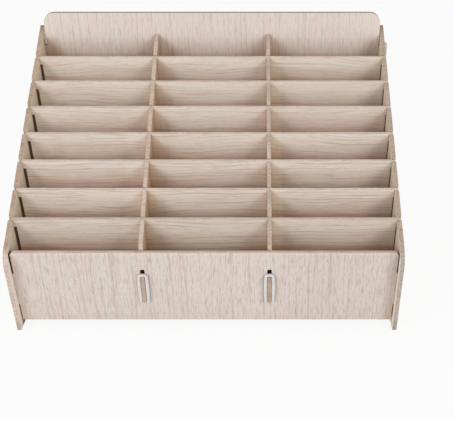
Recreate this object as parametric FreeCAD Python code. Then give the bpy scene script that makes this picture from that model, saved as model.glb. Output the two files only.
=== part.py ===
import FreeCAD, Part
import math
import os

from FreeCAD import Vector

# Driving dimensions of the phone box, in millimetres
width = 330.0            # over the two side panels
depth = 218.0            # front edge to back edge of the side panels
board = 3.5              # thickness of every board
rows = 8                 # pockets from front to back
row_pitch = 25.0         # front to back, from one cross board to the next
row_rise = 13.75         # each row stands this much above the row in front of it
divider_spacing = 106.5  # between the middles of the two dividers

front_inset = 6.5        # the side panels reach this far in front of the front panel
foot_gap = 7.0           # the front and back panels end this far above the table
front_top = 79.0         # upper edge of the front panel
back_top = 212.0         # upper edge of the back panel
first_board_top = 95.2   # upper edge of the cross board behind the front pockets
board_height = 71.0      # cross board from its upper to its lower edge
floor_start = 10.0       # upper face of the floor where it meets the front panel

# Fits
end_gap = 1.8            # between the end of a board and the side panel, if evenly shared
front_end_gap = 1.0      # between each end of the front panel and the side panel
side_slip = 0.9          # the side and front panels have slid this far to the left within the gaps
slot_play = 0.4          # a slot is wider than the board in it by this much
tab_shy = 0.3            # a plain tab ends this far inside the outer face
board_seat = 0.1         # between a cross board and what it sits on
clip_air = 0.25          # between a clip and the tab that it grips
clip_seat = 0.1          # between a clip and what it sits on

# Ears, tabs and hooked heads
ear_height = 7.2         # ear at the upper end of a cross board
ear_shy = 1.0            # ears and front tabs end this far inside the outer face
head_depth = 2.0         # a hooked head, and the clip on it, is this thick
head_height = 28.1
front_head_gap = 0.4     # between a head and the front panel
back_head_gap = 1.0      # between a head and the side panel, if evenly shared
hook_drop = 5.2          # lip of the head below the edge of its slot
drop_play = 0.9          # a slot is taller than the head by this much
relief_depth = 6.0       # notch in a divider behind the open top of its slot
front_neck_low = 32.7    # lower edge of the necks that pass through the front panel
back_neck_low = 156.9    # lower edge of the necks that pass through the side panels
front_tab_low = 24.5     # plain tab at each end of the front panel
front_tab_high = 58.0
rear_tab_low = 140.0     # plain tab at the back of each divider
rear_tab_high = 170.0
floor_tab_length = 32.0
floor_tab_middles = (55.0, 165.0)  # along the slope, from the front end of the floor

# Rounding
side_front_radius = 18.0
side_tip_radius = 2.0
foot_radius = 1.0
back_corner_radius = 10.5
front_corner_radius = 3.0
divider_front_radius = 5.0
board_corner_radius = 2.0
ear_radius = 1.2
tab_radius = 0.8
head_radius = 1.6
slot_head_radius = 1.0

# Clip, an inverted U pushed over a head from above
clip_width = 10.1        # over the bellied legs
clip_bridge = 2.2        # thickness over the head
clip_tip_in = 0.9        # each leg draws in by this much towards its tip
clip_top_in = 0.7        # and by this much towards the bridge
clip_belly_height = 14.5 # widest place of the legs above their tips
clip_belly_radius = 150.0
clip_shoulder = 3.8
clip_inner_radius = 0.3
clip_tip_radius = 1.1
clip_tip_inner_radius = 0.6
clip_edge = 0.4          # bevel round the outer face

# Places worked out from the sizes above
side_front = -depth / 2
side_back = depth / 2
inner_half = width / 2 - board
panel_half = inner_half - end_gap
front_half = inner_half - front_end_gap
front_face = side_front + front_inset
front_rear = front_face + board
back_face = front_rear + rows * row_pitch - board
back_rear = back_face + board
slope = row_rise / row_pitch
slope_angle = math.atan(slope)
divider_middles = (-divider_spacing / 2, divider_spacing / 2)
slot_width = board + slot_play
cutter_reach = 3 * board
same_point = 1e-6
head_rise = head_height - hook_drop
front_head_top = front_neck_low + head_rise
front_lip = front_face - front_head_gap
back_head_top = back_neck_low + head_rise
back_lip = width / 2 + back_head_gap


def board_front(row):
    return front_rear + row * row_pitch - board


def board_top(row):
    return first_board_top + (row - 1) * row_rise


def board_bottom(row):
    return board_top(row) - board_height


def crossing_height(row):
    return board_top(row) - board_height / 2


def top_line(y):
    return first_board_top + (y - board_front(1)) * slope


def floor_line(y):
    return floor_start + (y - front_rear) * slope


# Closed outline through corners (u, v, radius), each corner rounded by its radius
def outline(corners, place):
    bends = []
    for i, (u, v, radius) in enumerate(corners):
        here = Vector(u, v, 0)
        if radius == 0:
            bends.append((here, None, here))
            continue
        before = Vector(*corners[i - 1][:2], 0)
        after = Vector(*corners[(i + 1) % len(corners)][:2], 0)
        back = (before - here).normalize()
        ahead = (after - here).normalize()
        half_angle = back.getAngle(ahead) / 2
        reach = radius / math.tan(half_angle)
        middle = (back + ahead).normalize()
        crown = here + middle * (radius / math.sin(half_angle) - radius)
        bends.append((here + back * reach, crown, here + ahead * reach))
    edges = []
    for i, (start, crown, stop) in enumerate(bends):
        if crown is not None:
            edges.append(Part.Arc(place(start), place(crown), place(stop)).toShape())
        following = bends[(i + 1) % len(bends)][0]
        if (following - stop).Length > same_point:
            edges.append(Part.LineSegment(place(stop), place(following)).toShape())
    return Part.Wire(edges)


# Plate whose outline is drawn in Y and Z, lying across X from x
def plate_across_x(corners, x, thickness=board):
    wire = outline(corners, lambda p: Vector(x, p.x, p.y))
    return Part.Face(wire).extrude(Vector(thickness, 0, 0))


# Plate whose outline is drawn in X and Z, lying across Y from y
def plate_across_y(corners, y, thickness=board):
    wire = outline(corners, lambda p: Vector(p.x, y, p.y))
    return Part.Face(wire).extrude(Vector(0, thickness, 0))


# Corners of an upright slot with a square foot, and a head that is square or rounded
def slot_corners(middle, low, high, radius=0):
    left = middle - slot_width / 2
    right = middle + slot_width / 2
    return [(left, low, 0), (right, low, 0), (right, high, radius), (left, high, radius)]


# The floor lies in this placement: its own X stays level and its own Y runs up the slope
def on_slope(shape):
    shape.rotate(Vector(0, 0, 0), Vector(1, 0, 0), math.degrees(slope_angle))
    shape.translate(Vector(0, front_rear, floor_start))
    return shape


def floor_tab_cut(middle, side):
    length = floor_tab_length + slot_play
    cut = Part.makeBox(cutter_reach, length, slot_width)
    panel_middle = side * (inner_half + board / 2) - side_slip
    cut.translate(Vector(panel_middle - cutter_reach / 2, middle - length / 2, -board))
    return on_slope(cut)


def side_panel(side):
    corners = [
        (side_front, 0, foot_radius),
        (side_back, 0, foot_radius),
        (side_back, top_line(side_back), side_tip_radius),
        (side_front, top_line(side_front), side_front_radius),
    ]
    x = (inner_half if side > 0 else -width / 2) - side_slip
    panel = plate_across_x(corners, x)
    cuts = []
    for row in range(1, rows):
        seat = board_top(row) - ear_height - board_seat
        clear_of_edge = board_top(row) + ear_height
        middle = board_front(row) + board / 2
        cuts.append(plate_across_x(slot_corners(middle, seat, clear_of_edge), x))
    front_middle = front_face + board / 2
    front_slot_high = front_tab_high + drop_play
    cuts.append(plate_across_x(slot_corners(front_middle, front_tab_low, front_slot_high), x))
    back_middle = back_face + board / 2
    back_slot_high = back_neck_low + head_height + drop_play
    back_slot = slot_corners(back_middle, back_neck_low, back_slot_high, slot_head_radius)
    cuts.append(plate_across_x(back_slot, x))
    for middle in floor_tab_middles:
        cuts.append(floor_tab_cut(middle, side))
    return panel.cut(cuts)


# The front panel sits with the side panels, and its slots are cut where the dividers stand
def front_panel():
    tab_end = width / 2 - ear_shy
    right_side = [
        (front_half, foot_gap, foot_radius),
        (front_half, front_tab_low, 0),
        (tab_end, front_tab_low, tab_radius),
        (tab_end, front_tab_high, tab_radius),
        (front_half, front_tab_high, 0),
        (front_half, front_top, front_corner_radius),
    ]
    left_side = [(-x, z, radius) for x, z, radius in reversed(right_side)]
    panel = plate_across_y(right_side + left_side, front_face)
    panel.translate(Vector(-side_slip, 0, 0))
    slot_high = front_neck_low + head_height + drop_play
    cuts = []
    for x in divider_middles:
        slot = slot_corners(x, front_neck_low, slot_high, slot_head_radius)
        cuts.append(plate_across_y(slot, front_face))
    return panel.cut(cuts)


def back_panel():
    head_end = back_lip + head_depth
    head_low = back_neck_low - hook_drop
    right_side = [
        (panel_half, foot_gap, foot_radius),
        (panel_half, back_neck_low, 0),
        (back_lip, back_neck_low, 0),
        (back_lip, head_low, 0),
        (head_end, head_low, head_radius),
        (head_end, back_head_top, head_radius),
        (panel_half, back_head_top, 0),
        (panel_half, back_top, back_corner_radius),
    ]
    left_side = [(-x, z, radius) for x, z, radius in reversed(right_side)]
    panel = plate_across_y(right_side + left_side, back_face)
    slot_high = rear_tab_high + drop_play
    cuts = []
    for x in divider_middles:
        cuts.append(plate_across_y(slot_corners(x, rear_tab_low, slot_high), back_face))
    return panel.cut(cuts)


def cross_board(row):
    ear_end = width / 2 - ear_shy
    top = board_top(row)
    bottom = board_bottom(row)
    ear_low = top - ear_height
    corners = [
        (-panel_half, bottom, board_corner_radius),
        (panel_half, bottom, board_corner_radius),
        (panel_half, ear_low, 0),
        (ear_end, ear_low, 0),
        (ear_end, top, ear_radius),
        (-ear_end, top, ear_radius),
        (-ear_end, ear_low, 0),
        (-panel_half, ear_low, 0),
    ]
    y = board_front(row)
    plate = plate_across_y(corners, y)
    below = bottom - board
    slot_high = crossing_height(row) + board_seat
    cuts = []
    for x in divider_middles:
        cuts.append(plate_across_y(slot_corners(x, below, slot_high), y))
    return plate.cut(cuts)


def divider(middle):
    head_front = front_lip - head_depth
    relief_end = front_rear + relief_depth
    relief_high = front_neck_low + head_height + drop_play
    relief_radius = (relief_high - front_head_top) / 2
    corners = [
        (front_rear, floor_line(front_rear), 0),
        (back_face, floor_line(back_face), 0),
        (back_face, rear_tab_low, 0),
        (back_rear - tab_shy, rear_tab_low, tab_radius),
        (back_rear - tab_shy, rear_tab_high, tab_radius),
        (back_face, rear_tab_high, 0),
        (back_face, top_line(back_face), 0),
        (front_rear, top_line(front_rear), divider_front_radius),
        (front_rear, relief_high, 0),
        (relief_end, relief_high, relief_radius),
        (relief_end, front_head_top, relief_radius),
        (head_front, front_head_top, head_radius),
        (head_front, front_neck_low - hook_drop, head_radius),
        (front_lip, front_neck_low - hook_drop, 0),
        (front_lip, front_neck_low, 0),
        (front_rear, front_neck_low, 0),
    ]
    x = middle - board / 2
    plate = plate_across_x(corners, x)
    cuts = []
    for row in range(1, rows):
        seat = crossing_height(row)
        clear_of_edge = board_top(row) + board_height
        slot_middle = board_front(row) + board / 2
        cuts.append(plate_across_x(slot_corners(slot_middle, seat, clear_of_edge), x))
    return plate.cut(cuts)


def floor_board():
    run = (back_face - front_rear) / math.cos(slope_angle)
    back_end = run - board * math.tan(slope_angle) - tab_shy
    half = inner_half - tab_shy
    tab_end = width / 2 - tab_shy
    right_side = [(half, tab_shy, 0)]
    for middle in floor_tab_middles:
        near = middle - floor_tab_length / 2
        far = middle + floor_tab_length / 2
        right_side.append((half, near, 0))
        right_side.append((tab_end, near, tab_radius))
        right_side.append((tab_end, far, tab_radius))
        right_side.append((half, far, 0))
    right_side.append((half, back_end, 0))
    left_side = [(-x, s, radius) for x, s, radius in reversed(right_side)]
    wire = outline(right_side + left_side, lambda p: Vector(p.x - side_slip, p.y, -board))
    return on_slope(Part.Face(wire).extrude(Vector(0, 0, board)))


# Clip on a head whose top and lip meet at the origin, with its outer face towards -Y
def clip():
    half = clip_width / 2
    inner = board / 2 + clip_air
    top = clip_seat + clip_bridge
    tip = clip_seat - head_height
    belly = tip + clip_belly_height
    tip_inner = inner - clip_air / 2
    right_leg = [
        (inner, clip_seat, clip_inner_radius),
        (tip_inner, tip, clip_tip_inner_radius),
        (half - clip_tip_in, tip, clip_tip_radius),
        (half, belly, clip_belly_radius),
        (half - clip_top_in, top, clip_shoulder),
    ]
    left_leg = [(-u, v, radius) for u, v, radius in reversed(right_leg)]
    body = plate_across_y(right_leg + left_leg, -head_depth, head_depth)
    outer_face = min(body.Faces, key=lambda face: face.CenterOfMass.y)
    return body.makeChamfer(clip_edge, outer_face.OuterWire.Edges)


def front_clip(middle):
    piece = clip()
    piece.translate(Vector(middle, front_lip, front_head_top))
    return piece


# The outer face of a side clip looks away from the box
def side_clip(side):
    piece = clip()
    piece.rotate(Vector(0, 0, 0), Vector(0, 0, 1), 90 * side)
    piece.translate(Vector(side * back_lip, back_face + board / 2, back_head_top))
    return piece


def pieces():
    made = {
        "left_side_panel": side_panel(-1),
        "right_side_panel": side_panel(1),
        "front_panel": front_panel(),
        "back_panel": back_panel(),
        "floor_board": floor_board(),
        "left_divider": divider(divider_middles[0]),
        "right_divider": divider(divider_middles[1]),
        "left_front_clip": front_clip(divider_middles[0]),
        "right_front_clip": front_clip(divider_middles[1]),
        "left_side_clip": side_clip(-1),
        "right_side_clip": side_clip(1),
    }
    for row in range(1, rows):
        made["cross_board_%d" % row] = cross_board(row)
    return made


os.makedirs("parts", exist_ok=True)
for name, shape in pieces().items():
    print(name, len(shape.Solids), "solid", shape.isValid(), "volume %.0f" % shape.Volume)
    shape.exportStep(os.path.join("parts", name + ".step"))
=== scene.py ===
import math

import bpy
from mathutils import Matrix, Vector


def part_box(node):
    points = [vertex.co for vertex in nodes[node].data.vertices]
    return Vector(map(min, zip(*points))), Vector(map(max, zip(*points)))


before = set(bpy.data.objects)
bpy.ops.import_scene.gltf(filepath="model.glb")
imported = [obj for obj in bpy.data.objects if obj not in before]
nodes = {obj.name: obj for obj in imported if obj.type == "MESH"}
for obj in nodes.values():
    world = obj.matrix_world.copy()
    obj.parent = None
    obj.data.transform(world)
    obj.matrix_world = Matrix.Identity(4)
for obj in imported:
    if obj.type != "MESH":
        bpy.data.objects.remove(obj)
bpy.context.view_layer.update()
print("frame loaded:", len(nodes), "nodes")

scene = bpy.context.scene
scene.view_settings.view_transform = "Standard"
millimetres = 1000.0


# small helpers for shader trees

def link(tree, source, target):
    tree.links.new(source, target)


def feed(tree, socket, value):
    if isinstance(value, bpy.types.NodeSocket):
        link(tree, value, socket)
    elif value is not None:
        socket.default_value = value


def calc(tree, operation, first, second=None, third=None, clamp=False):
    node = tree.nodes.new("ShaderNodeMath")
    node.operation = operation
    node.use_clamp = clamp
    for socket, value in zip(node.inputs, (first, second, third)):
        feed(tree, socket, value)
    return node.outputs[0]


def times(tree, product, *others):
    for other in others:
        product = calc(tree, "MULTIPLY", product, other)
    return product


def inverse(tree, mask):
    return calc(tree, "SUBTRACT", 1.0, mask)


def remap(tree, value, fromLow, fromHigh, toLow=0.0, toHigh=1.0, smooth=True):
    node = tree.nodes.new("ShaderNodeMapRange")
    node.interpolation_type = "SMOOTHSTEP" if smooth else "LINEAR"
    for name, entry in (("Value", value), ("From Min", fromLow), ("From Max", fromHigh),
                        ("To Min", toLow), ("To Max", toHigh)):
        feed(tree, node.inputs[name], entry)
    return node.outputs["Result"]


def opaque(colour):
    return (*colour, 1.0)


def blendColour(tree, share, first, second, mode="MIX"):
    node = tree.nodes.new("ShaderNodeMix")
    node.data_type = "RGBA"
    node.blend_type = mode
    feed(tree, node.inputs["Factor"], share)
    for name, entry in (("A", first), ("B", second)):
        socket = [s for s in node.inputs if s.name == name and s.type == "RGBA"][0]
        feed(tree, socket, entry)
    return [s for s in node.outputs if s.type == "RGBA"][0]


# colour multiplied by a tone where the mask is set
def tint(tree, mask, colour, tone):
    return blendColour(tree, mask, colour, blendColour(tree, 1.0, colour, opaque(tone), "MULTIPLY"))


def pack3(tree, x, y, z):
    node = tree.nodes.new("ShaderNodeCombineXYZ")
    for socket, value in zip(node.inputs, (x, y, z)):
        feed(tree, socket, value)
    return node.outputs[0]


def split3(tree, vector):
    node = tree.nodes.new("ShaderNodeSeparateXYZ")
    link(tree, vector, node.inputs[0])
    return node.outputs[0], node.outputs[1], node.outputs[2]


def cloud(tree, vector, scale=1.0, detail=2.0, roughness=0.5):
    node = tree.nodes.new("ShaderNodeTexNoise")
    feed(tree, node.inputs["Vector"], vector)
    node.inputs["Scale"].default_value = scale
    node.inputs["Detail"].default_value = detail
    node.inputs["Roughness"].default_value = roughness
    return node.outputs["Fac"]


def addBump(tree, shader, height, strength, distance):
    bump = tree.nodes.new("ShaderNodeBump")
    bump.inputs["Strength"].default_value = strength
    bump.inputs["Distance"].default_value = distance
    link(tree, height, bump.inputs["Height"])
    link(tree, bump.outputs["Normal"], shader.inputs["Normal"])


def newMaterial(name):
    material = bpy.data.materials.new(name)
    material.use_nodes = True
    tree = material.node_tree
    return material, tree, tree.nodes["Principled BSDF"]


def newGroup(name, inputs, outputs):
    tree = bpy.data.node_groups.new(name, "ShaderNodeTree")
    for label, kind, default in inputs:
        socket = tree.interface.new_socket(name=label, in_out="INPUT", socket_type=kind)
        if default is not None:
            socket.default_value = default
    for label, kind in outputs:
        tree.interface.new_socket(name=label, in_out="OUTPUT", socket_type=kind)
    source = tree.nodes.new("NodeGroupInput")
    target = tree.nodes.new("NodeGroupOutput")
    return tree, source.outputs, target.inputs


def placeGroup(tree, group, **values):
    node = tree.nodes.new("ShaderNodeGroup")
    node.node_tree = group
    for label, value in values.items():
        feed(tree, node.inputs[label], value)
    return node.outputs


colourSocket = "NodeSocketColor"
floatSocket = "NodeSocketFloat"
vectorSocket = "NodeSocketVector"


# printed wood-grain film: place is in millimetres, x along the grain, y across it, z through the board
# pace is how often a figure changes in a millimetre, along the grain and across it
filmGrain = {
    "seed": 0.37,
    "drift": {"pace": (0.011, 0.02), "detail": 1, "sway": 4.0},
    "band": {"pace": (0.006, 0.09), "detail": 3, "range": (0.36, 0.64)},
    "jitter": {"pace": (0.005, 0.16), "detail": 2, "share": 2.2},
    "fade": {"pace": (0.02, 0.2), "detail": 2, "range": (0.34, 0.62), "offset": 31.0},
    "sharpness": 8.0,
    "tick": {"pace": (1.0, 1.1), "detail": 2, "range": (0.5, 0.68), "offset": 7.0},
    "fine": {"pace": (2.3, 1.9), "detail": 2, "range": (0.52, 0.7), "offset": 3.0, "share": 0.8},
}


def grainCloud(tree, along, across, seed, figure):
    paceAlong, paceAcross = figure["pace"]
    depth = calc(tree, "ADD", seed, figure.get("offset", 0.0))
    place = pack3(tree, times(tree, along, paceAlong), times(tree, across, paceAcross), depth)
    return cloud(tree, place, detail=figure["detail"])


def makeFilmGroup():
    tree, given, out = newGroup(
        "woodGrainFilm",
        [("Place", vectorSocket, None), ("Pale", colourSocket, (0.7, 0.65, 0.58, 1)),
         ("Warm", colourSocket, (0.7, 0.6, 0.55, 1)), ("Line", colourSocket, (0.5, 0.42, 0.36, 1)),
         ("Line Spacing", floatSocket, 7.0), ("Line Strength", floatSocket, 0.4),
         ("Tick Strength", floatSocket, 0.3), ("Tick Pace", floatSocket, 0.15), ("Wander", floatSocket, 5.0)],
        [("Colour", colourSocket), ("Ticks", floatSocket)])
    along, across, through = split3(tree, given["Place"])
    seed = times(tree, through, filmGrain["seed"])

    # slow drift of the figure across the board
    drift = calc(tree, "SUBTRACT", grainCloud(tree, along, across, seed, filmGrain["drift"]), 0.5)
    drift = times(tree, drift, given["Wander"], filmGrain["drift"]["sway"])
    swayed = calc(tree, "ADD", across, drift)

    # broad bands of the two tones
    band = grainCloud(tree, along, swayed, seed, filmGrain["band"])
    colour = blendColour(tree, remap(tree, band, *filmGrain["band"]["range"]), given["Pale"], given["Warm"])

    # growth lines that fade in and out
    jitter = grainCloud(tree, along, swayed, seed, filmGrain["jitter"])
    jitter = times(tree, jitter, filmGrain["jitter"]["share"])
    phase = calc(tree, "ADD", calc(tree, "DIVIDE", swayed, given["Line Spacing"]), jitter)
    wave = calc(tree, "COSINE", times(tree, phase, 2 * math.pi))
    wave = calc(tree, "POWER", calc(tree, "MULTIPLY_ADD", wave, 0.5, 0.5), filmGrain["sharpness"])
    fade = grainCloud(tree, along, swayed, seed, filmGrain["fade"])
    lines = times(tree, wave, remap(tree, fade, *filmGrain["fade"]["range"]))
    colour = blendColour(tree, times(tree, lines, given["Line Strength"]), colour, given["Line"])

    # short dark ticks and fine fibres
    paced = times(tree, along, given["Tick Pace"])
    tick = remap(tree, grainCloud(tree, paced, swayed, seed, filmGrain["tick"]), *filmGrain["tick"]["range"])
    fine = remap(tree, grainCloud(tree, paced, across, seed, filmGrain["fine"]), *filmGrain["fine"]["range"])
    ticks = calc(tree, "MAXIMUM", tick, times(tree, fine, filmGrain["fine"]["share"]))
    colour = blendColour(tree, times(tree, ticks, given["Tick Strength"]), colour, given["Line"])
    link(tree, colour, out["Colour"])
    link(tree, ticks, out["Ticks"])
    return tree


# sawn fibreboard: specks, fibres and tool marks across the thickness
sawnFigure = {
    "marks": {"pace": (1.6, 1.6, 0.12), "detail": 2, "range": (0.45, 0.75), "share": 0.3, "height": 0.6},
    "specks": {"scale": 0.8, "detail": 4, "roughness": 0.65, "range": (0.46, 0.68), "height": 0.4},
    "patches": {"scale": 0.06, "detail": 3, "range": (0.3, 0.7), "tone": (0.9, 1.08)},
}


def makeSawnGroup():
    tree, given, out = newGroup(
        "sawnCore",
        [("Place", vectorSocket, None), ("Core", colourSocket, (0.5, 0.4, 0.32, 1)),
         ("Speck", colourSocket, (0.3, 0.22, 0.16, 1)), ("Speck Strength", floatSocket, 0.5)],
        [("Colour", colourSocket), ("Height", floatSocket)])
    mark, speck, patch = (sawnFigure[name] for name in ("marks", "specks", "patches"))
    spread = [times(tree, part, pace) for part, pace in zip(split3(tree, given["Place"]), mark["pace"])]
    marks = cloud(tree, pack3(tree, *spread), detail=mark["detail"])
    specks = cloud(tree, given["Place"], speck["scale"], speck["detail"], speck["roughness"])
    patches = cloud(tree, given["Place"], patch["scale"], patch["detail"])
    share = times(tree, remap(tree, specks, *speck["range"]), given["Speck Strength"])
    colour = blendColour(tree, share, given["Core"], given["Speck"])
    share = times(tree, remap(tree, marks, *mark["range"]), mark["share"])
    colour = blendColour(tree, share, colour, given["Speck"])
    tone = pack3(tree, *[remap(tree, patches, *patch["range"], *patch["tone"])] * 3)
    colour = blendColour(tree, 1.0, colour, tone, "MULTIPLY")
    height = calc(tree, "ADD", times(tree, marks, mark["height"]), times(tree, specks, speck["height"]))
    link(tree, colour, out["Colour"])
    link(tree, height, out["Height"])
    return tree


# film is 1 on a printed face and 0 on a sawn edge, and arris lies between them
# rear is 1 on the face that looks along facing
filmTurn = {"range": (0.7, 0.9), "arrisPeak": 4.0}


def makeArrisGroup():
    tree, given, out = newGroup(
        "filmOrEdge", [("Normal", vectorSocket, None), ("Facing", vectorSocket, (0, 1, 0))],
        [("Film", floatSocket), ("Arris", floatSocket), ("Rear", floatSocket)])
    dot = tree.nodes.new("ShaderNodeVectorMath")
    dot.operation = "DOT_PRODUCT"
    link(tree, given["Normal"], dot.inputs[0])
    link(tree, given["Facing"], dot.inputs[1])
    link(tree, remap(tree, dot.outputs["Value"], *filmTurn["range"]), out["Rear"])
    toward = calc(tree, "ABSOLUTE", dot.outputs["Value"])
    link(tree, remap(tree, toward, *filmTurn["range"]), out["Film"])
    rest = calc(tree, "SUBTRACT", 1.0, toward, clamp=True)
    between = calc(tree, "MULTIPLY", times(tree, toward, rest), filmTurn["arrisPeak"], clamp=True)
    link(tree, between, out["Arris"])
    return tree


# mask for hollow places, used to paint shade into the colour: 1 where other surfaces close in within the
# reach in metres, 0 in the open
hollowSamples = 6
hollows = {
    "slit": {"Reach": 0.005, "Full": 0.24, "None": 0.46},
    "corner": {"Reach": 0.012, "Full": 0.25, "None": 0.55},
    "pocket": {"Reach": 0.04, "Full": 0.25, "None": 0.85},
    "beside": {"Reach": 0.008, "Full": 0.80, "None": 0.96},  # close to the end of a board
}


def makeHollowGroup():
    tree, given, out = newGroup(
        "hollowMask",
        [("Reach", floatSocket, 0.005), ("Full", floatSocket, 0.25), ("None", floatSocket, 0.5)],
        [("Mask", floatSocket)])
    near = tree.nodes.new("ShaderNodeAmbientOcclusion")
    near.samples = hollowSamples
    link(tree, given["Reach"], near.inputs["Distance"])
    link(tree, remap(tree, near.outputs["AO"], given["Full"], given["None"], 1.0, 0.0), out["Mask"])
    return tree


filmGroup = makeFilmGroup()
sawnGroup = makeSawnGroup()
arrisGroup = makeArrisGroup()
hollowGroup = makeHollowGroup()
print("shader groups made")


# rows of boards, read from the first two
firstLow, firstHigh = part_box("cross_board_1")
secondLow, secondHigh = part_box("cross_board_2")
rows = {"start": firstLow[1] * millimetres, "pitch": (secondLow[1] - firstLow[1]) * millimetres,
        "top": firstHigh[2] * millimetres, "rise": (secondHigh[2] - firstHigh[2]) * millimetres}
slopeAngle = math.atan(rows["rise"] / rows["pitch"])

# a zone is a box in millimetres by axis, D being the depth below the slope of the rows,
# followed by the tone that multiplies the colour there and the width of the soft border
# edgeZones are for sawn edges, faceZones for the film, zones for both, the light and shade zones paint light
# and shade on what lies in a pocket, and openZones keep the painted slit shade off
crisp = 0.6  # soft border of a plain zone

sideFilm = {
    "axes": "ZYX", "facing": (1, 0, 0),
    "pale": (0.77, 0.675, 0.575), "warm": (0.75, 0.64, 0.53), "line": (0.42, 0.32, 0.25),
    "spacing": 9.0, "lineStrength": 0.25, "tickStrength": 0.3, "tickPace": 0.08, "wander": 2.0,
    "core": (0.55, 0.43, 0.35), "speck": (0.26, 0.17, 0.12), "speckStrength": 0.8,
    "pocketShadeTone": (1.0, 0.95, 0.86),
    "openZones": [{"Y": (96.5, 120)},
                  {"Y": (-112, -94), "Z": (-9, 26)},
                  {"X": (100, 180), "Y": (-112, -94), "Z": (20, 36)}],
    "edgeZones": [({"Y": (-120, -99)}, (1.08, 1.06, 1.08), 8),
                  ({"Y": (-108, 130)}, (0.96, 0.92, 0.86), 9),
                  ({"Y": (104, 120)}, (0.66, 0.64, 0.63), 2),
                  ({"Z": (-10, 16)}, (0.82, 0.88, 0.90), 10),
                  ({"X": (0, 180), "Y": (-120, -99)}, (0.82, 0.84, 0.79), 8),
                  ({"X": (0, 180)}, (0.98, 1.03, 1.08), crisp)],
    # painted shade: the dark slit beside the left end of the front panel
    "faceZones": [({"X": (-163, 0), "Y": (-103.2, -97), "Z": (57, 77.5)}, (0.14, 0.09, 0.05), 0.4)],
    "zones": [({"Y": (-120, -102.6)}, (1.10, 1.15, 1.22), crisp)],
    # painted shade of the dark gap beside each board, on the inner face of the left panel
    "gapShade": {"behind": (0.2, 0.8, 6.5, 9.0), "sunk": (6.9, 7.4), "tone": (0.30, 0.20, 0.13),
               "zone": {"X": (-163, 0), "Y": (-104, 96)}},
}

frontFilm = {
    "axes": "ZXY", "facing": (0, 1, 0),
    "pale": (0.658, 0.600, 0.542), "warm": (0.667, 0.575, 0.530), "line": (0.34, 0.26, 0.21),
    "rear": (0.50, 0.34, 0.21),
    "spacing": 5.5, "lineStrength": 0.38, "tickStrength": 0.48, "tickPace": 0.09, "wander": 1.2,
    "core": (0.76, 0.60, 0.50), "speck": (0.46, 0.34, 0.27), "speckStrength": 0.45,
    "pocketShadeTone": (0.95, 0.88, 0.80),
    "openZones": [{"Z": (-9, 26)}, {"X": (100, 180), "Z": (20, 36)}],
    "edgeZones": [({"Z": (70, 90)}, (0.91, 0.89, 0.89), crisp),
                  ({"X": (-60, 200), "Y": (-101.4, -95), "Z": (70, 90)}, (0.86, 0.85, 0.84), 1.2)],
    # painted shade: a dark strip at the left end of the face, along the slit beside the left panel
    "faceZones": [({"X": (-170, -160.8), "Z": (57, 76)}, (0.32, 0.21, 0.14), 0.5)],
    # painted highlight along the top of the panel, painted shade at the right end and over the right third
    "zones": [({"Z": (76.5, 82)}, (1.05, 1.06, 1.06), crisp),
              ({"X": (146, 180)}, (0.90, 0.90, 0.89), 12),
              ({"X": (52, 200)}, (0.975, 0.965, 0.965), 30)],
}

backFilm = {
    "axes": "ZXY", "facing": (0, 1, 0),
    "pale": (0.743, 0.677, 0.608), "warm": (0.752, 0.648, 0.593), "line": (0.42, 0.31, 0.25),
    "spacing": 5.5, "lineStrength": 0.34, "tickStrength": 0.34, "tickPace": 0.09, "wander": 1.2,
    "core": (0.43, 0.36, 0.315), "speck": (0.26, 0.19, 0.155), "speckStrength": 0.4,
    "pocketShadeTone": (0.88, 0.76, 0.65), "cornerShadeTone": (0.72, 0.58, 0.48),
    "openZones": [{"Z": (0, 220)}],
    # painted shade in the lower left and right corners of the panel
    "zones": [({"X": (-190, -142), "Z": (0, 194)}, (0.82, 0.75, 0.71), 14),
              ({"X": (138, 190), "Z": (0, 194)}, (0.84, 0.83, 0.82), 14)],
}

levelFilm = {
    "axes": "XZY", "facing": (0, 1, 0),
    "pale": (0.79, 0.710, 0.627), "warm": (0.76, 0.647, 0.563), "line": (0.36, 0.25, 0.19),
    "rear": (0.46, 0.30, 0.18),
    "spacing": 3.4, "lineStrength": 0.50, "tickStrength": 0.24, "tickPace": 0.07, "wander": 3.2,
    "lineFade": {"Y": (-60, 60), "least": 0.62},  # fainter lines towards the back
    "core": (0.76, 0.64, 0.545), "speck": (0.48, 0.36, 0.28), "speckStrength": 0.45,
    "pocketShadeTone": (1.01, 0.928, 0.847), "cornerShadeTone": (0.74, 0.66, 0.60),
    # painted shade: the first board darker overall
    "zones": [({"Y": (-90, -60)}, (0.92, 0.92, 0.91), crisp)],
    # painted shade at the right end and over the right part, painted light on the left flank of the left
    # divider, painted shade on its right flank, painted light right of the right divider and at the left end
    "lightAndShadeZones": [({"X": (128, 200)}, (0.76, 0.76, 0.76), 26),
                   ({"X": (40, 240)}, (0.95, 0.94, 0.93), 40),
                   ({"X": (-76, -50), "Y": (-90, 12)}, (1.20, 1.24, 1.29), 9),
                   ({"X": (-54.5, -43)}, (0.94, 0.90, 0.82), 3),
                   ({"X": (-54.5, -35)}, (0.95, 0.91, 0.84), 3),
                   ({"X": (52, 66)}, (1.14, 1.18, 1.09), 3),
                   ({"X": (-175, -138), "D": (6, 90)}, (1.12, 1.18, 1.19), 10)],
    # painted reddish shade in streaks deep in the pockets, for warm bounce light
    "foot": {"along": 0.01, "across": 0.3, "sunk": (12, 28), "patch": (0.46, 0.66),
             "tone": (0.95, 0.77, 0.71)},
}

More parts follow.
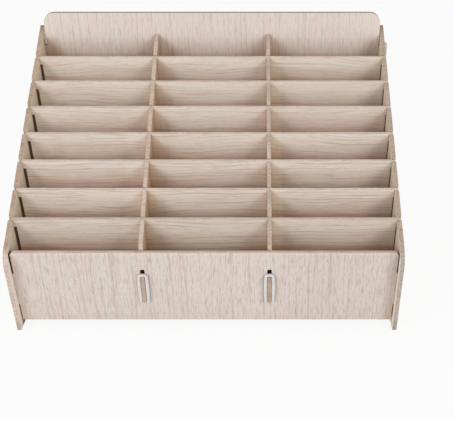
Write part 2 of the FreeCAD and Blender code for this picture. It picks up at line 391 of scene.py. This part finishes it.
innerFilm = {
    "axes": "YZX", "facing": (1, 0, 0),
    "pale": (0.60, 0.45, 0.33), "warm": (0.57, 0.42, 0.30), "line": (0.36, 0.25, 0.18),
    "spacing": 8.0, "lineStrength": 0.35, "tickStrength": 0.2, "tickPace": 0.1, "wander": 5.0,
    "core": (0.64, 0.52, 0.43), "speck": (0.34, 0.24, 0.18), "speckStrength": 0.75,
    "pocketShadeTone": (1.0, 0.85, 0.74),
    "edgeZones": [({"X": (40, 70)}, (0.92, 0.92, 0.91), crisp)],
    # painted shade on the head under the clip, greyer under the clip's bridge, and near black in the slot
    # above the neck
    "zones": [({"Y": (-120, -102.6)}, (0.78, 0.74, 0.71), crisp),
              ({"Y": (-120, -102.6), "Z": (48, 60)}, (0.88, 0.90, 0.98), 4),
              ({"Y": (-102.4, -90), "Z": (54, 64)}, (0.06, 0.05, 0.04), crisp)],
}

floorFilm = {
    "axes": "XYZ", "facing": (0, -math.sin(slopeAngle), math.cos(slopeAngle)),
    "pale": (0.48, 0.34, 0.23), "warm": (0.46, 0.32, 0.21), "line": (0.32, 0.21, 0.14),
    "spacing": 8.0, "lineStrength": 0.35, "tickStrength": 0.2, "tickPace": 0.1, "wander": 5.0,
    "core": (0.50, 0.39, 0.30), "speck": (0.36, 0.26, 0.20), "speckStrength": 0.45,
    "pocketShadeTone": (1.0, 0.85, 0.74),
}

boardFinish = {"sideFilm": sideFilm, "frontFilm": frontFilm, "backFilm": backFilm, "levelFilm": levelFilm,
               "innerFilm": innerFilm, "floorFilm": floorFilm}
# the arris tone and share paint a highlight: a lighter band along each arris
boardSurface = {"arrisHighlightTone": (0.80, 0.73, 0.66), "arrisHighlightShare": 0.5, "slitShadeTone": (0.12, 0.06, 0.03),
                "filmRough": 0.5, "tickRough": 0.12, "edgeRough": 0.85, "specular": 0.15,
                "tickDepth": 0.3, "bump": 0.35, "relief": 0.0001}


# place on the board in millimetres, and the depth below the slope that the boards' upper edges follow
def boardParts(tree, spot):
    parts = {axis: times(tree, value, millimetres) for axis, value in zip("XYZ", split3(tree, spot))}
    slope = rows["rise"] / rows["pitch"]
    line = calc(tree, "MULTIPLY_ADD", parts["Y"], slope, rows["top"] - slope * rows["start"])
    parts["D"] = calc(tree, "SUBTRACT", line, parts["Z"])
    return parts


def zoneMask(tree, parts, zone, soft=crisp):
    mask = 1.0
    for axis, (low, high) in zone.items():
        rising = remap(tree, parts[axis], low, low + soft)
        falling = remap(tree, parts[axis], high - soft, high, 1.0, 0.0)
        mask = times(tree, mask, times(tree, rising, falling))
    return mask


def tintZones(tree, parts, zones, colour, within=1.0):
    for zone, tone, soft in zones:
        colour = tint(tree, times(tree, within, zoneMask(tree, parts, zone, soft)), colour, tone)
    return colour


# band behind the front of every board, below its ears, where the gap shade is painted
def rowMask(tree, parts, gapShade):
    behind = calc(tree, "FLOORED_MODULO", calc(tree, "SUBTRACT", parts["Y"], rows["start"]), rows["pitch"])
    start, full, fade, end = gapShade["behind"]
    band = times(tree, remap(tree, behind, start, full), remap(tree, behind, fade, end, 1.0, 0.0))
    return times(tree, band, remap(tree, parts["D"], *gapShade["sunk"]))


def hollowMask(tree, kind):
    return placeGroup(tree, hollowGroup, **hollows[kind])["Mask"]


def placeFilm(tree, parts, place, finish):
    strength = finish["lineStrength"]
    if "lineFade" in finish:
        fade = finish["lineFade"]
        strength = remap(tree, parts["Y"], *fade["Y"], strength, strength * fade["least"])
    return placeGroup(tree, filmGroup, **{
        "Place": place, "Pale": opaque(finish["pale"]), "Warm": opaque(finish["warm"]),
        "Line": opaque(finish["line"]), "Line Spacing": finish["spacing"], "Line Strength": strength,
        "Tick Strength": finish["tickStrength"], "Tick Pace": finish["tickPace"], "Wander": finish["wander"]})


def placeSawn(tree, place, finish):
    return placeGroup(tree, sawnGroup, **{
        "Place": place, "Core": opaque(finish["core"]), "Speck": opaque(finish["speck"]),
        "Speck Strength": finish["speckStrength"]})


def faceColour(tree, parts, finish, pocket, face):
    # painted reddish shade deep in the pockets
    if "foot" in finish:
        foot = finish["foot"]
        place = pack3(tree, times(tree, parts["X"], foot["along"]), times(tree, parts["Z"], foot["across"]),
                      parts["Y"])
        sunk = times(tree, pocket, remap(tree, parts["D"], *foot["sunk"]))
        patch = remap(tree, cloud(tree, place), *foot["patch"])
        face = tint(tree, times(tree, sunk, patch), face, foot["tone"])
    face = tintZones(tree, parts, finish.get("faceZones", ()), face)
    # painted shade in the gap beside each board, only where a board stands close
    if "gapShade" in finish:
        gapShade = finish["gapShade"]
        mask = times(tree, rowMask(tree, parts, gapShade), zoneMask(tree, parts, gapShade["zone"]))
        face = tint(tree, times(tree, mask, hollowMask(tree, "beside")), face, gapShade["tone"])
    return face


# painted shade in narrow slits, left off inside the open zones
def slitMask(tree, parts, finish):
    slit = hollowMask(tree, "slit")
    for zone in finish.get("openZones", ()):
        slit = times(tree, slit, inverse(tree, zoneMask(tree, parts, zone)))
    return slit


def makeBoardMaterial(name, finish):
    material, tree, shader = newMaterial(name)
    spot = tree.nodes.new("ShaderNodeTexCoord")
    parts = boardParts(tree, spot.outputs["Object"])
    place = pack3(tree, *[parts[axis] for axis in finish["axes"]])
    film = placeFilm(tree, parts, place, finish)
    sawn = placeSawn(tree, place, finish)
    where = placeGroup(tree, arrisGroup, Normal=spot.outputs["Normal"], Facing=finish["facing"])
    pocket = hollowMask(tree, "pocket")
    slit = slitMask(tree, parts, finish)

    edge = tintZones(tree, parts, finish.get("edgeZones", ()), sawn["Colour"])
    face = faceColour(tree, parts, finish, pocket, film["Colour"])
    colour = blendColour(tree, where["Film"], edge, face)
    if "rear" in finish:
        colour = tint(tree, where["Rear"], colour, finish["rear"])
    # painted highlight along each arris
    colour = blendColour(tree, times(tree, where["Arris"], boardSurface["arrisHighlightShare"]), colour,
                         opaque(boardSurface["arrisHighlightTone"]))
    colour = tintZones(tree, parts, finish.get("zones", ()), colour)
    # painted light and shade, only where the board lies in a pocket
    colour = tintZones(tree, parts, finish.get("lightAndShadeZones", ()), colour, pocket)
    # painted shade in the slits
    colour = tint(tree, slit, colour, boardSurface["slitShadeTone"])
    # painted shade in the corners
    if "cornerShadeTone" in finish:
        colour = tint(tree, hollowMask(tree, "corner"), colour, finish["cornerShadeTone"])
    # painted shade, warmer and darker deeper in the pockets
    colour = tint(tree, pocket, colour, finish["pocketShadeTone"])
    link(tree, colour, shader.inputs["Base Color"])

    sawnShare = inverse(tree, where["Film"])
    filmRough = calc(tree, "MULTIPLY_ADD", film["Ticks"], boardSurface["tickRough"],
                     boardSurface["filmRough"])
    rough = calc(tree, "ADD", times(tree, filmRough, where["Film"]),
                 times(tree, sawnShare, boardSurface["edgeRough"]))
    link(tree, calc(tree, "MAXIMUM", rough, slit), shader.inputs["Roughness"])
    height = calc(tree, "SUBTRACT", times(tree, sawnShare, sawn["Height"]),
                  times(tree, film["Ticks"], boardSurface["tickDepth"], where["Film"]))
    addBump(tree, shader, height, boardSurface["bump"], boardSurface["relief"])
    shader.inputs["Specular IOR Level"].default_value = boardSurface["specular"]
    return material


# milky streaks follow the flow of the plastic, frost is the fine texture of its skin
clipFinish = {
    "white": (0.88, 0.86, 0.845), "milky": (0.82, 0.80, 0.785),
    "flow": {"scale": 0.35, "detail": 3, "range": (0.35, 0.65)},
    "frost": {"scale": 5.0, "detail": 2, "rough": 0.12, "bump": 0.25, "relief": 0.00008},
    "roughness": 0.32, "transmission": 0.3, "ior": 1.49,
}


def makeClipMaterial():
    material, tree, shader = newMaterial("frostedClip")
    spot = tree.nodes.new("ShaderNodeTexCoord")
    scaled = tree.nodes.new("ShaderNodeVectorMath")
    scaled.operation = "SCALE"
    scaled.inputs["Scale"].default_value = millimetres
    link(tree, spot.outputs["Object"], scaled.inputs[0])
    flow, frost = clipFinish["flow"], clipFinish["frost"]
    streaks = remap(tree, cloud(tree, scaled.outputs[0], flow["scale"], flow["detail"]), *flow["range"])
    skin = cloud(tree, scaled.outputs[0], frost["scale"], frost["detail"])
    colour = blendColour(tree, streaks, opaque(clipFinish["white"]), opaque(clipFinish["milky"]))
    link(tree, colour, shader.inputs["Base Color"])
    rough = calc(tree, "MULTIPLY_ADD", skin, frost["rough"], clipFinish["roughness"])
    link(tree, rough, shader.inputs["Roughness"])
    addBump(tree, shader, skin, frost["bump"], frost["relief"])
    shader.inputs["Transmission Weight"].default_value = clipFinish["transmission"]
    shader.inputs["IOR"].default_value = clipFinish["ior"]
    return material


materials = {name: makeBoardMaterial(name, finish) for name, finish in boardFinish.items()}
materials["frostedClip"] = makeClipMaterial()
print("materials made:", ", ".join(materials))

wears = {
    "left_side_panel": "sideFilm", "right_side_panel": "sideFilm",
    "front_panel": "frontFilm", "back_panel": "backFilm",
    "floor_board": "floorFilm", "left_divider": "innerFilm", "right_divider": "innerFilm",
}
for name in nodes:
    if name.startswith("cross_board"):
        wears[name] = "levelFilm"
    elif name.endswith("clip"):
        wears[name] = "frostedClip"

# widths in metres, angles in degrees
arris = {"flatWithin": 1.0,
         "board": {"width": 0.0003, "steps": 2, "sharpest": 35.0},
         "clip": {"width": 0.0007, "steps": 3, "sharpest": 60.0}}


def softenArris(piece, setup):
    flat = piece.modifiers.new("flatFaces", "DECIMATE")
    flat.decimate_type = "DISSOLVE"
    flat.angle_limit = math.radians(arris["flatWithin"])
    bevel = piece.modifiers.new("arris", "BEVEL")
    bevel.width = setup["width"]
    bevel.segments = setup["steps"]
    bevel.limit_method = "ANGLE"
    bevel.angle_limit = math.radians(setup["sharpest"])
    bevel.use_clamp_overlap = False
    bevel.harden_normals = True


for name, piece in nodes.items():
    piece.data.materials.clear()
    piece.data.materials.append(materials[wears[name]])
    softenArris(piece, arris["clip"] if name.endswith("clip") else arris["board"])
print("boards and clips dressed")


# white sweep, lamps and camera

# 1 where the camera, a reflection or clear plastic looks at the surface
def seenDirectly(tree):
    rays = tree.nodes.new("ShaderNodeLightPath").outputs
    through = calc(tree, "MAXIMUM", rays["Is Glossy Ray"], rays["Is Transmission Ray"])
    return calc(tree, "MAXIMUM", rays["Is Camera Ray"], through)


stageSetup = {"size": 8.0, "tone": (0.93, 0.93, 0.93), "rough": 0.9, "glow": 0.88}


def makeFloor():
    half = stageSetup["size"] / 2
    mesh = bpy.data.meshes.new("whiteSweep")
    corners = [(-half, -half, 0), (half, -half, 0), (half, half, 0), (-half, half, 0)]
    mesh.from_pydata(corners, [], [(0, 1, 2, 3)])
    sweep = bpy.data.objects.new("whiteSweep", mesh)
    scene.collection.objects.link(sweep)
    material, tree, paper = newMaterial("whitePaper")
    paper.inputs["Base Color"].default_value = opaque(stageSetup["tone"])
    paper.inputs["Roughness"].default_value = stageSetup["rough"]
    paper.inputs["Specular IOR Level"].default_value = 0.0
    glow = tree.nodes.new("ShaderNodeEmission")
    mix = tree.nodes.new("ShaderNodeMixShader")
    link(tree, times(tree, seenDirectly(tree), stageSetup["glow"]), mix.inputs[0])
    link(tree, paper.outputs[0], mix.inputs[1])
    link(tree, glow.outputs[0], mix.inputs[2])
    link(tree, mix.outputs[0], tree.nodes["Material Output"].inputs["Surface"])
    mesh.materials.append(material)


lampSetup = {"aim": (0.0, 0.0, 0.08), "sky": 0.57,
             "softBox": {"place": (-2.1, -1.75, 1.15), "size": 1.3, "power": 34.0},
             "fillBox": {"place": (2.1, -1.75, 1.15), "size": 1.3, "power": 27.5}}


def makeLight():
    for name in ("softBox", "fillBox"):
        box = lampSetup[name]
        lamp = bpy.data.lights.new(name, "AREA")
        lamp.shape = "SQUARE"
        lamp.size = box["size"]
        lamp.energy = box["power"]
        holder = bpy.data.objects.new(name, lamp)
        holder.location = box["place"]
        toward = Vector(lampSetup["aim"]) - Vector(box["place"])
        holder.rotation_euler = toward.to_track_quat("-Z", "Y").to_euler()
        scene.collection.objects.link(holder)
    world = bpy.data.worlds.new("studio")
    scene.world = world
    world.use_nodes = True
    tree = world.node_tree
    sky = tree.nodes["Background"]
    sky.inputs["Color"].default_value = (1, 1, 1, 1)
    strength = remap(tree, seenDirectly(tree), 0, 1, lampSetup["sky"], 1.0, smooth=False)
    link(tree, strength, sky.inputs["Strength"])


# place in metres, tilt in degrees, lens and sensor in millimetres
cameraSetup = {"place": (0.0434, -0.6170, 0.4615), "tiltDown": 33.495, "lens": 61.85, "sensor": 36.0,
               "shiftX": -0.0690}


def makeCamera():
    data = bpy.data.cameras.new("camera")
    data.sensor_width = cameraSetup["sensor"]
    data.lens = cameraSetup["lens"]
    data.shift_x = cameraSetup["shiftX"]
    holder = bpy.data.objects.new("camera", data)
    holder.location = cameraSetup["place"]
    holder.rotation_euler = (math.radians(90 - cameraSetup["tiltDown"]), 0, 0)
    scene.collection.objects.link(holder)
    scene.camera = holder


makeFloor()
makeLight()
makeCamera()
print("stage, lamps and camera set")
